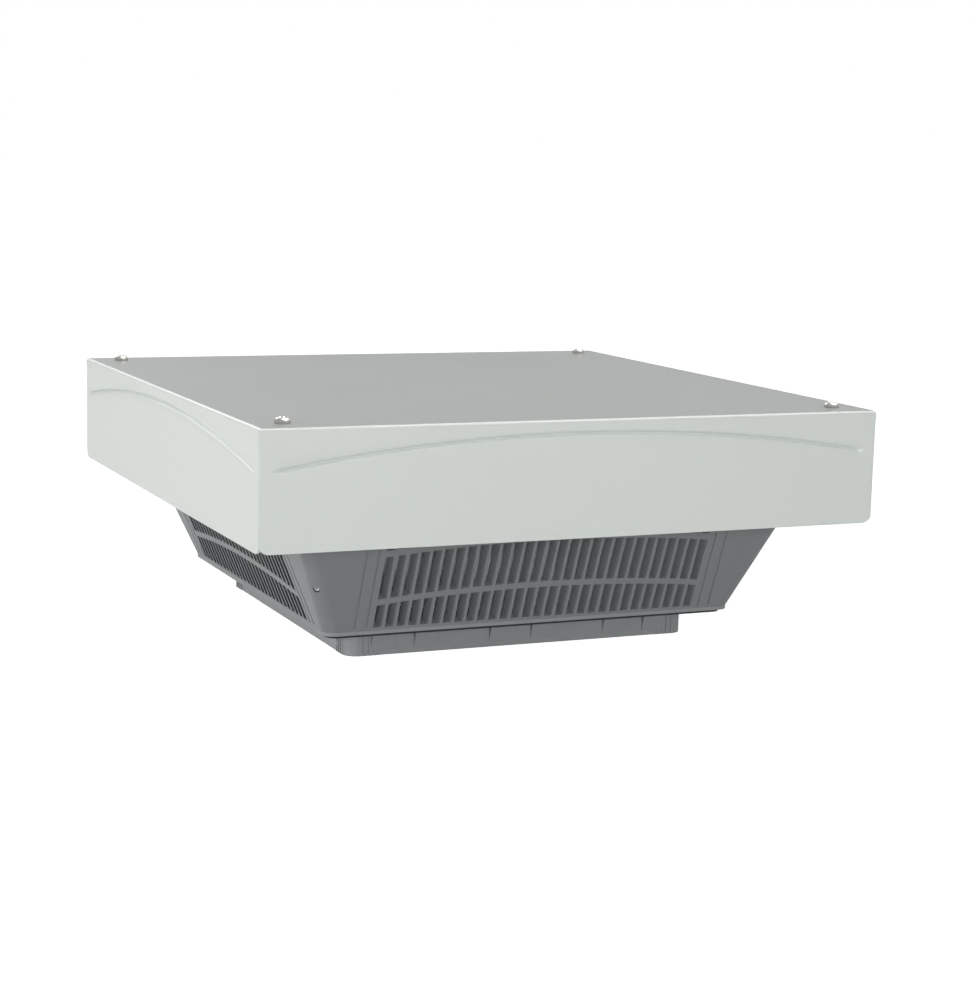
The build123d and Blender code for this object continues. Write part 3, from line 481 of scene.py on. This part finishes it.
# %% Mould the plastics
def moulding(name, colour, roughness, grain, speckle):
    """Grained plastic: dense small bumps, a speckle of tone and dust where it faces up."""
    material = new_finish(name, Specular_IOR_Level=0.25)
    grained = add_effect(
        material,
        skin,
        Color=colour,
        Roughness=roughness,
        Bump_size=1500.0,
        Bump_depth=grain,
        Drift=0.03,
        Speckle=speckle,
    )
    dusted = add_effect(material, dust, grained, Amount=0.25)
    return feed_shader(material, grained, dusted)


finishes["housing_plastic"] = moulding("housing_plastic", screen_colour(114, 118, 119), 0.46, 0.30, 0.05)
finishes["tray_plastic"] = moulding("tray_plastic", screen_colour(130, 133, 134), 0.48, 0.30, 0.05)
finishes["capacitor_can"] = moulding("capacitor_can", screen_colour(226, 226, 220), 0.35, 0.06, 0.01)
finishes["terminal_plastic"] = moulding("terminal_plastic", screen_colour(214, 212, 200), 0.40, 0.08, 0.02)
print("moulded:", sorted(finishes))


# %% [markdown]
# ### Foam and rubber
#
# The roof gasket is closed-cell foam, matt and near black, with pores of half a millimetre that its
# knife-cut edge lays open. The lead's sheath is smooth and softly shiny.


# %% Make the soft blacks
def soft_black(name, colour, roughness, pores, depth):
    """Rubber or foam: coarse pores for foam, hardly any for a sheath, and a soft sheen."""
    material = new_finish(name, Specular_IOR_Level=0.25, Sheen_Weight=0.15, Sheen_Roughness=0.6)
    porous = add_effect(
        material,
        skin,
        Color=colour,
        Roughness=roughness,
        Bump_size=pores,
        Bump_depth=depth,
        Drift=0.05,
        Speckle=0.12,
    )
    dusted = add_effect(material, dust, porous, Amount=0.15)
    return feed_shader(material, porous, dusted)


finishes["foam_rubber"] = soft_black("foam_rubber", screen_colour(40, 41, 42), 0.85, 1800.0, 0.8)
finishes["lead_sheath"] = soft_black("lead_sheath", screen_colour(52, 52, 54), 0.45, 500.0, 0.08)
print("soft:", sorted(finishes))


# %% [markdown]
# ### Sheet metals and castings
#
# Galvanised sheet shows crystals of zinc a few millimetres wide that catch the light at different
# strengths. The impeller's aluminium has much finer ones, so the same group serves with another scale.
# A die casting has none, so tiny faint ones stand in for its pebbled skin. Plated screws get finer yet.


# %% Roll the sheets
def sheet_metal(name, colour, roughness, crystals, contrast, scratches):
    """Bare sheet: crystals, fine rolling scratches and dust where it faces up."""
    material = new_finish(name, Metallic=1.0)
    sheet = add_effect(
        material,
        spangle,
        Color=colour,
        Roughness=roughness,
        Crystals_a_metre=crystals,
        Contrast=contrast,
        Scratches=scratches,
    )
    dusted = add_effect(material, dust, sheet, Amount=0.35)
    return feed_shader(material, sheet, dusted)


finishes["galvanised_sheet"] = sheet_metal(
    "galvanised_sheet", screen_colour(196, 200, 203), 0.38, 170.0, 0.16, 0.25
)
finishes["impeller_sheet"] = sheet_metal(
    "impeller_sheet", screen_colour(200, 202, 205), 0.36, 900.0, 0.06, 0.35
)
finishes["cast_aluminium"] = sheet_metal(
    "cast_aluminium", screen_colour(186, 188, 190), 0.55, 1400.0, 0.10, 0.60
)
finishes["zinc_screw"] = sheet_metal("zinc_screw", screen_colour(198, 200, 204), 0.30, 2200.0, 0.06, 0.15)
finishes["nickel_screw"] = sheet_metal("nickel_screw", screen_colour(150, 148, 144), 0.26, 2600.0, 0.04, 0.08)
print("metal sheets and castings:", sorted(finishes))


# %% [markdown]
# ### Turned, ground, stacked and wound metals
#
# A lathe leaves rings, a stack of motor sheets shows its edges as hairlines, and a winding shows its
# turns of wire. All three are bands at an even pitch along one direction, so one group makes them.


# %% Band the machined parts
def banded_metal(name, colour, roughness, metallic, pitch, depth, shade, waver):
    """Metal with bands across the vertical direction."""
    material = new_finish(name, Metallic=metallic)
    lined = add_effect(material, bands, Color=colour, Pitch=pitch, Depth=depth, Shade=shade, Waver=waver)
    dusted = add_effect(material, dust, lined, Roughness=roughness, Amount=0.2)
    return feed_shader(material, lined, dusted)


finishes["bearing_steel"] = banded_metal(
    "bearing_steel", screen_colour(204, 206, 208), 0.22, 1.0, 0.0003, 0.15, 0.04, 0.2
)
finishes["lamination_steel"] = banded_metal(
    "lamination_steel", screen_colour(150, 152, 156), 0.45, 1.0, 0.0005, 0.60, 0.22, 0.0
)
finishes["enamelled_copper"] = banded_metal(
    "enamelled_copper", screen_colour(190, 110, 66), 0.28, 0.85, 0.0008, 0.90, 0.35, 1.5
)
finishes["brass_insert"] = banded_metal(
    "brass_insert", screen_colour(206, 180, 112), 0.30, 1.0, 0.0006, 0.50, 0.10, 0.0
)
print("finishes made:", len(finishes))

# %% Put every finish on its nodes
for part in frame["record"]["subparts"]:
    node = frame["nodes"][part["node"]]
    for place in node.material_slots:
        place.material = finishes[part["material_slot"]]

# %% [markdown]
# ## Surfaces from formulas
#
# Every new piece below is a grid of points worked out as whole arrays: rows run one way over the
# surface and columns the other. One helper turns such grids into a mesh of quads, welds the points that
# coincide and makes the faces look outwards.


# %% The mesh helper
def lay_grids(name, grids, finish, body="root"):
    """Joins grids, each rows x columns x 3 in metres, into one piece that rides on a body."""
    points = []
    faces = []
    first = 0
    for grid in grids:
        rows, columns = grid.shape[:2]
        index = first + np.arange(rows * columns).reshape(rows, columns)
        quads = np.stack((index[:-1, :-1], index[:-1, 1:], index[1:, 1:], index[1:, :-1]), axis=-1)
        points.append(grid.reshape(-1, 3))
        faces.append(quads.reshape(-1, 4))
        first += rows * columns
    points = np.concatenate(points)
    faces = np.concatenate(faces)
    mesh = bpy.data.meshes.new(name)
    mesh.vertices.add(len(points))
    mesh.vertices.foreach_set("co", points.astype(np.float32).ravel())
    mesh.loops.add(faces.size)
    mesh.loops.foreach_set("vertex_index", faces.astype(np.int32).ravel())
    mesh.polygons.add(len(faces))
    mesh.polygons.foreach_set("loop_start", np.arange(0, faces.size, 4, dtype=np.int32))
    mesh.update(calc_edges=True)
    welded = bmesh.new()
    welded.from_mesh(mesh)
    bmesh.ops.remove_doubles(welded, verts=welded.verts, dist=2e-6)
    bmesh.ops.recalc_face_normals(welded, faces=welded.faces)
    welded.to_mesh(mesh)
    welded.free()
    mesh.polygons.foreach_set("use_smooth", np.ones(len(mesh.polygons), dtype=bool))
    mesh.set_sharp_from_angle(angle=radians(40))
    mesh.materials.append(finishes[finish])
    piece = bpy.data.objects.new(name, mesh)
    bpy.context.collection.objects.link(piece)
    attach(piece, body)
    print(name, "faces:", len(mesh.polygons))
    return piece


def turned(grid, quarter):
    """The same grid turned by quarter turns about the fan's axis."""
    angle = quarter * pi / 2
    spin = np.array(((np.cos(angle), -np.sin(angle), 0), (np.sin(angle), np.cos(angle), 0), (0, 0, 1)))
    return grid @ spin.T


# %% [markdown]
# ## The cover
#
# The cover is one steel sheet: a square top, a small bend all round and four flanges. A shallow arc is
# pressed into each flange. A plain solid shows the bend as a few flat strips, so here it is a true
# curve, and rows of the grid follow the arc, which keeps the groove smooth with few faces. Solidify then
# gives the sheet its thickness, and a small bevel takes the sharpness off the cut edges.

# %% Measure the cover
cover_low, cover_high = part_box("cover")
cover_half = cover_high.x
cover_top = cover_high.z
cover_bottom = cover_low.z
cover_bend = 2.0 * mm
cover_sheet = 1.5 * mm
groove_drop = 8.1 * mm
groove_radius = 1088 * mm
groove_span = 182 * mm
groove_end = 3 * mm
groove_half_width = 1.5 * mm
groove_depth = 1.7 * mm
corner_round = 6.0 * mm
seam_gap = 0.35 * mm
cut_edge = 0.3 * mm
columns_across = 113
cover_deep = cover_top - cover_bottom
print("cover in mm:", round(2 * cover_half / mm, 1), "square,", round(cover_deep / mm, 1), "deep")


# %% Draw one flange
def flange_side():
    """The front flange with half of its corners.

    Columns: x = u * (half width - inset). u is the sine of an even parameter, so columns crowd at the
    corners.
    Rows: a quarter circle for the bend, then straight down. The height of a row is shared out between
    the bend, the groove's two edges and the lower edge, which all depend on x:
    groove height = top - drop - (R - sqrt(R^2 - x^2)), and the lower edge rises on a circle at each corner.
    Depth of the groove at a distance s from its line: depth * (1 - (s / w)^2)^2, and it runs out to
    nothing over the last stretch at both ends.
    """
    bend_rows, upper_rows, groove_rows, lower_rows = 7, 4, 13, 12
    u = np.sin(np.linspace(-pi / 2, pi / 2, columns_across))
    turn = np.linspace(0, pi / 2, bend_rows)
    inset = cover_bend * (1 - np.sin(turn))
    bend_x = u[None, :] * (cover_half - inset[:, None])
    bend_y = np.repeat(-(cover_half - inset)[:, None], len(u), axis=1)
    bend_z = np.repeat((cover_top - cover_bend * (1 - np.cos(turn)))[:, None], len(u), axis=1)

    x = u * (cover_half - seam_gap)
    line = cover_top - groove_drop - (groove_radius - np.sqrt(groove_radius**2 - x**2))
    past = np.clip(np.abs(x) - (cover_half - corner_round), 0, corner_round)
    foot = cover_bottom + corner_round - np.sqrt(corner_round**2 - past**2)
    start = np.full_like(x, cover_top - cover_bend)
    upper = np.linspace(start, line + groove_half_width, upper_rows)[1:]
    groove = np.linspace(line + groove_half_width, line - groove_half_width, groove_rows)[1:]
    lower = np.linspace(line - groove_half_width, foot, lower_rows)[1:]
    z = np.concatenate((upper, groove, lower))

    away = np.clip(np.abs(z - line) / groove_half_width, 0, 1)
    fade = np.clip((groove_span - np.abs(x)) / groove_end, 0, 1)
    press = groove_depth * (1 - away**2) ** 2 * fade**2 * (3 - 2 * fade)
    flat_x = np.repeat(x[None, :], len(z), axis=0)
    return np.stack(
        (
            np.concatenate((bend_x, flat_x)),
            np.concatenate((bend_y, -cover_half + press)),
            np.concatenate((bend_z, z)),
        ),
        axis=-1,
    )


# %% Fold the cover
front_flange = flange_side()
print("flange grid:", front_flange.shape[0], "rows of", front_flange.shape[1], "points")
spread = np.sin(np.linspace(-pi / 2, pi / 2, columns_across)) * (cover_half - cover_bend)
top_x, top_y = np.meshgrid(spread, spread)
top_sheet = np.stack((top_x, top_y, np.full_like(top_x, cover_top)), axis=-1)
flanges = [turned(front_flange, quarter) for quarter in range(4)]
cover_skin = lay_grids("cover_sheet", flanges + [top_sheet], "cover_paint")
thickness = cover_skin.modifiers.new("sheet", "SOLIDIFY")
thickness.thickness = cover_sheet
thickness.offset = -1
edge_round = cover_skin.modifiers.new("edge_round", "BEVEL")
edge_round.width = cut_edge
edge_round.segments = 2
edge_round.limit_method = "ANGLE"
edge_round.angle_limit = radians(50)
edge_round.harden_normals = True
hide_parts("cover")

# %% [markdown]
# ## Screws
#
# All screws here are pan heads with a cross recess. One formula gives them all: a domed head as height
# over the distance from the axis, a cross sunk into it, and a thread that is a small ridge whose place
# depends on height and angle together, which makes it a helix.


# %% The screw formula
def cross_screw(head_radius, head_height, shank_radius, shank_length, pitch, columns=48):
    """A screw along +Z with the underside of its head at z = 0, as one closed grid.

    Head: z = height * sqrt(1 - (r / R)^6), less the cross, which is deep along two arms.
    Shank: r = core + ridge * (1 - |2 * fraction(z / pitch - angle / turn) - 1|).
    """
    head_rings = 22
    rows_a_turn = 6
    angle = np.linspace(0, 2 * pi, columns + 1)
    head_r = head_radius * np.sin(np.linspace(0, pi / 2, head_rings))[:, None] * np.ones_like(angle)
    x = head_r * np.cos(angle)
    y = head_r * np.sin(angle)
    dome = head_height * np.sqrt(np.clip(1 - (head_r / head_radius) ** 6, 0, 1))
    arm = 0.13 * head_radius
    arm_length = 0.55 * head_radius
    soft = 0.05 * head_radius
    cross_depth = 0.55 * head_height
    width_x = np.clip((arm - np.abs(y)) / soft + 0.5, 0, 1)
    width_y = np.clip((arm - np.abs(x)) / soft + 0.5, 0, 1)
    length_x = np.clip((arm_length - np.abs(x)) / (4 * soft), 0, 1)
    length_y = np.clip((arm_length - np.abs(y)) / (4 * soft), 0, 1)
    head_z = dome - cross_depth * np.maximum(width_x * length_x, width_y * length_y)

    shank_rows = int(shank_length / pitch * rows_a_turn) + 2
    down = np.linspace(0, -shank_length, shank_rows)[:, None]
    ridge = 0.16 * shank_radius
    phase = down / pitch - angle / (2 * pi)
    tooth = 1 - np.abs(2 * (phase - np.floor(phase)) - 1)
    shank_r = shank_radius - ridge + ridge * tooth
    shank_z = down + np.zeros_like(angle)
    tip = np.zeros((1, columns + 1))
    radius = np.concatenate((head_r, shank_r, tip))
    height = np.concatenate((head_z, shank_z, tip - shank_length))
    grid = np.stack((radius * np.cos(angle), radius * np.sin(angle), height), axis=-1)
    grid[:, -1] = grid[:, 0]
    return grid


def placed(grid, place, axis=(0, 0, 1), twist=0.0):
    """The grid with its +Z laid along axis, turned about it by twist, and moved to place."""
    lay = Vector(axis).to_track_quat("Z", "Y").to_matrix() @ Matrix.Rotation(twist, 3, "Z")
    return grid @ np.array(lay).T + np.array(place)


# %% Drive the cover screws
screw_low, screw_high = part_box("cover_screws")
solid_pan = 4.75 * mm
pan_radius = 4.5 * mm
pan_height = 3.2 * mm
pan_shank = 2.5 * mm
pan_pitch = 0.8 * mm
pan_foot = screw_high.z - pan_height
screw_reach = screw_high.x - solid_pan
cover_screw = cross_screw(pan_radius, pan_height, pan_shank, pan_foot - screw_low.z, pan_pitch)
twists = [(-1, -1, 0.3), (1, -1, 0.9), (1, 1, 0.1), (-1, 1, 0.6)]
driven = [
    placed(cover_screw, (sx * screw_reach, sy * screw_reach, pan_foot), twist=turn)
    for sx, sy, turn in twists
]
cover_screws = lay_grids("cover_screw_set", driven, "nickel_screw")
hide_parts("cover_screws")

# %% Helpers for the other fasteners
def corner_places(reach, height):
    """Four places on a square: at plus and minus reach."""
    return [(sx * reach, sy * reach, height) for sx, sy in ((-1, -1), (1, -1), (1, 1), (-1, 1))]


def cross_places(radius, height):
    """Four places on a circle, one on each axis."""
    return [(radius, 0, height), (0, radius, height), (-radius, 0, height), (0, -radius, height)]


def screw_set(node, screw, places, axes):
    """One piece with a zinc plated screw at each place, in place of the CAD node."""
    laid = [placed(screw, place, axis, twist=0.7 * n) for n, (place, axis) in enumerate(zip(places, axes))]
    piece = lay_grids(node + "_set", laid, "zinc_screw")
    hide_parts(node)


# %% Drive the post screws
post_low, post_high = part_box("post_screws")
small_head = 1.95 * mm
small_height = 1.6 * mm
small_shank = 1.5 * mm
small_pitch = 0.7 * mm
post_shank_length = 12.2 * mm
small_columns = 32
post_screw = cross_screw(
    small_head, small_height, small_shank, post_shank_length, small_pitch, small_columns
)
face_reach = (-post_low.x * sqrt(2) - small_head - small_height) / sqrt(2)
places = corner_places(face_reach, (post_low.z + post_high.z) / 2)
screw_set("post_screws", post_screw, places, [(x, y, 0) for x, y, z in places])

# %% Drive the motor, inlet and clip screws
motor_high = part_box("motor_screws")[1]
cheese_head = 3.8 * mm
cheese_height = 2.6 * mm
cheese_shank = 2.0 * mm
cheese_pitch = 0.7 * mm
motor_shank_length = 6.0 * mm
motor_screw = cross_screw(
    cheese_head, cheese_height, cheese_shank, motor_shank_length, cheese_pitch, small_columns
)
places = corner_places(motor_high.x - cheese_head, motor_high.z - cheese_height)
screw_set("motor_screws", motor_screw, places, [(0, 0, 1)] * 4)

inlet_low, inlet_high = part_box("inlet_screws")
under_guard = inlet_low.z + cheese_height
inlet_shank_length = inlet_high.z - under_guard
inlet_screw = cross_screw(cheese_head, cheese_height, cheese_shank, inlet_shank_length, cheese_pitch)
places = cross_places(inlet_high.x - cheese_head, under_guard)
screw_set("inlet_screws", inlet_screw, places, [(0, 0, -1)] * 4)

clip_low, clip_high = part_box("clip_screws")
under_clip = clip_low.z + small_height
clip_shank_length = clip_high.z - under_clip
clip_screw = cross_screw(
    small_head, small_height, small_shank, clip_shank_length, small_pitch, small_columns
)
clip_x = (clip_low.x + clip_high.x) / 2
places = [(clip_x, clip_low.y + small_head, under_clip), (clip_x, clip_high.y - small_head, under_clip)]
screw_set("clip_screws", clip_screw, places, [(0, 0, -1)] * 2)

# %% Sink the terminal screws
block_low, block_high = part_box("terminal_block")
well_depth = 4.0 * mm
well_pitch = 9.0 * mm
well_floor = block_low.z + well_depth
terminal_screw = cross_screw(
    head_radius=2.0 * mm,
    head_height=1.3 * mm,
    shank_radius=1.2 * mm,
    shank_length=1.5 * mm,
    pitch=0.5 * mm,
    columns=small_columns,
)
block_x = (block_low.x + block_high.x) / 2
block_y = (block_low.y + block_high.y) / 2
wells = [(block_x + step * well_pitch, block_y, well_floor) for step in (-1, 0, 1)]
sunk = [placed(terminal_screw, well, (0, 0, -1), twist=0.4) for well in wells]
lay_grids("terminal_screws", sunk, "nickel_screw")

# %% [markdown]
# ## Spun sheet
#
# The inlet ring, the impeller's shroud and the rotor's cup are pressed or spun, so a cut through any of
# them is the same all round. Each is a closed profile carried round the fan's axis. The solids have
# short straight stretches where the real pieces are curved, and here those are true arcs.


# %% The spinning formula
def spun(profile, columns=144):
    """A closed profile of (radius, height) carried round the axis: x = r cos(a), y = r sin(a), z = h."""
    angle = np.linspace(0, 2 * pi, columns + 1)
    radius, height = np.array(profile).T[:, :, None]
    grid = np.stack((radius * np.cos(angle), radius * np.sin(angle), height + 0 * angle), axis=-1)
    grid[:, -1] = grid[:, 0]
    return grid


def arc(centre, across, up, start, end, steps=10):
    """Points on part of an ellipse: centre + (across * cos(a), up * sin(a)), a in degrees."""
    angle = np.radians(np.linspace(start, end, steps + 1))
    return [*zip(centre[0] + across * np.cos(angle), centre[1] + up * np.sin(angle))]


# %% Spin the inlet ring
ring_low, ring_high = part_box("inlet_ring")
ring_sheet = 1.5 * mm
ring_edge = ring_high.x
throat = 62 * mm
mouth = 18 * mm
mouth_middle = (throat + mouth, ring_low.z + mouth)
air_side = [(ring_edge, ring_low.z), *arc(mouth_middle, mouth, mouth, 270, 180, 14), (throat, ring_high.z)]
back = mouth - ring_sheet
back_side = [
    (throat + ring_sheet, ring_high.z),
    *arc(mouth_middle, back, back, 180, 270, 14),
    (ring_edge, ring_low.z + ring_sheet),
]
ring = lay_grids("bell_mouth", [spun(air_side + back_side + air_side[:1])], "galvanised_sheet")
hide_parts("inlet_ring")

# %% Spin the shroud
shroud_low, shroud_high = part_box("impeller_shroud")
eye = 66 * mm
shroud_bend = 14 * mm
shroud_neck = 20 * mm
shroud_rise = 4 * mm
rim = shroud_high.x
shoulder = shroud_low.z + shroud_neck
bend_middle = (eye + shroud_bend, shoulder - shroud_bend)
bend_up = shroud_bend + 0.3 * shroud_rise
inner_side = [
    (eye, shroud_low.z),
    *arc(bend_middle, shroud_bend, bend_up, 180, 90, 12),
    (rim, shoulder + shroud_rise),
]
outer_side = [
    (rim, shoulder + shroud_rise - ring_sheet),
    *arc(bend_middle, shroud_bend - ring_sheet, bend_up - ring_sheet, 90, 180, 12),
    (eye + ring_sheet, shroud_low.z),
]
shroud = lay_grids("spun_shroud", [spun(inner_side + outer_side + inner_side[:1])], "impeller_sheet", "rotor")
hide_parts("impeller_shroud")

# %% Spin the rotor's cup
cup_low, cup_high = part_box("rotor_cup")
shaft = 4 * mm
cup_radius = 46 * mm
cup_bend = 5 * mm
cup_wall = 3 * mm
cup_floor = 2.5 * mm
cup_flange = 2 * mm
cup_fillet = 2 * mm
step_inner = 15 * mm
step_outer = 32 * mm
step_rise = 0.6 * mm
step_run = 1 * mm
hub = 9 * mm
hub_height = 5 * mm
cup_inside = cup_radius - cup_wall
inside_floor = cup_low.z + cup_floor
corner_middle = (cup_radius - cup_bend, cup_low.z + cup_bend)
fillet_middle = (cup_inside - cup_fillet, inside_floor + cup_fillet)
cup_profile = [
    (shaft, cup_low.z),
    (step_inner - step_run, cup_low.z),
    (step_inner, cup_low.z + step_rise),
    (step_outer, cup_low.z + step_rise),
    (step_outer + step_run, cup_low.z),
    *arc(corner_middle, cup_bend, cup_bend, 270, 360, 8),
    (cup_radius, cup_high.z - cup_flange),
    (cup_high.x, cup_high.z - cup_flange),
    (cup_high.x, cup_high.z),
    (cup_inside, cup_high.z),
    *arc(fillet_middle, cup_fillet, cup_fillet, 360, 270, 5),
    (hub, inside_floor),
    (hub, inside_floor + hub_height),
    (shaft, inside_floor + hub_height),
    (shaft, cup_low.z),
]
cup = lay_grids("spun_cup", [spun(cup_profile)], "rotor_paint", "rotor")
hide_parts("rotor_cup")

# %% Head the rivets
rivet_low, rivet_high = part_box("impeller_rivets")
rivet_circle = (cup_radius + cup_high.x) / 2
rivet_head = 3 * mm
rivet_height = 1 * mm
rivet_shank = 1.6 * mm
rivet_profile = [
    *arc((0, rivet_low.z + rivet_height), rivet_head, rivet_height, 270, 360, 6),
    (rivet_shank, rivet_low.z + rivet_height),
    (rivet_shank, rivet_high.z - rivet_height),
    *arc((0, rivet_high.z - rivet_height), rivet_head, rivet_height, 0, 90, 6),
]
rivet = spun(rivet_profile, columns=28)
rivet_count = 5
around = np.arange(rivet_count) * 2 * pi / rivet_count
rivet_places = np.stack((rivet_circle * np.cos(around), rivet_circle * np.sin(around), 0 * around), axis=-1)
rivets = lay_grids("headed_rivets", [rivet + place for place in rivet_places], "zinc_screw", "rotor")
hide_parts("impeller_rivets")

# %% Check the sizes and finish
new_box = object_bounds()
grown = (*(cad_box[0] - new_box[0]), *(new_box[1] - cad_box[1]))
print("grown by, in mm:", [round(step / mm, 2) for step in grown])
